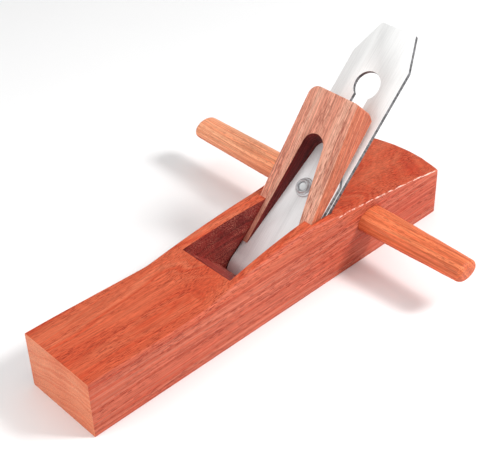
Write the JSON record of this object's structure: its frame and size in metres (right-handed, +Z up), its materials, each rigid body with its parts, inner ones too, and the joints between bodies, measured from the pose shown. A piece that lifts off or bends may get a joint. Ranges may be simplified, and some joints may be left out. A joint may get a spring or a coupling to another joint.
{
  "type": "hand plane",
  "caption": "Wooden hand plane with a bedded iron, a chip breaker, a forked wedge and an oval cross handle.",
  "frame": {"origin": "middle of the mouth's front edge, on the sole", "axes": "+X towards the heel, +Y across the body, +Z up from the sole"},
  "size_m": [0.2915, 0.231, 0.1318],
  "materials": {
    "stock_wood": "oiled, reddish brown",
    "handle_wood": "oiled, orange brown",
    "wedge_wood": "plain, pinkish tan",
    "iron_steel": "satin ground",
    "breaker_steel": "satin ground",
    "nut_steel": "bright turned"
  },
  "bodies": {
    "stock": {"stock": "stock_wood"},
    "handle": {"cross_handle": "handle_wood"},
    "iron": {"cutting_iron": "iron_steel"},
    "cap_iron": {"chip_breaker": "breaker_steel", "cap_nut": "nut_steel"},
    "screw": {"cap_screw": "nut_steel"},
    "wedge": {"wedge": "wedge_wood"}
  },
  "joints": [
    {"name": "wedge_slide", "type": "slide", "parent": "stock", "child": "wedge", "axis": [0.7071, 0, 0.7071], "range_m": [0, 0.11]},
    {"name": "iron_slide", "type": "slide", "parent": "stock", "child": "iron", "axis": [0.7071, 0, 0.7071], "range_m": [-0.001, 0.004]},
    {"name": "cap_iron_slide", "type": "slide", "parent": "iron", "child": "cap_iron", "axis": [0.7071, 0, 0.7071], "range_m": [-0.0011, 0.0015]},
    {"name": "cap_screw_turn", "type": "hinge", "parent": "cap_iron", "child": "screw", "pos_m": [0.05441, 0, 0.05211], "axis": [-0.7071, 0, 0.7071], "continuous": true},
    {"name": "handle_slide", "type": "slide", "parent": "stock", "child": "handle", "axis": [0, 1, 0], "range_m": [-0.16, 0.14]}
  ]
}
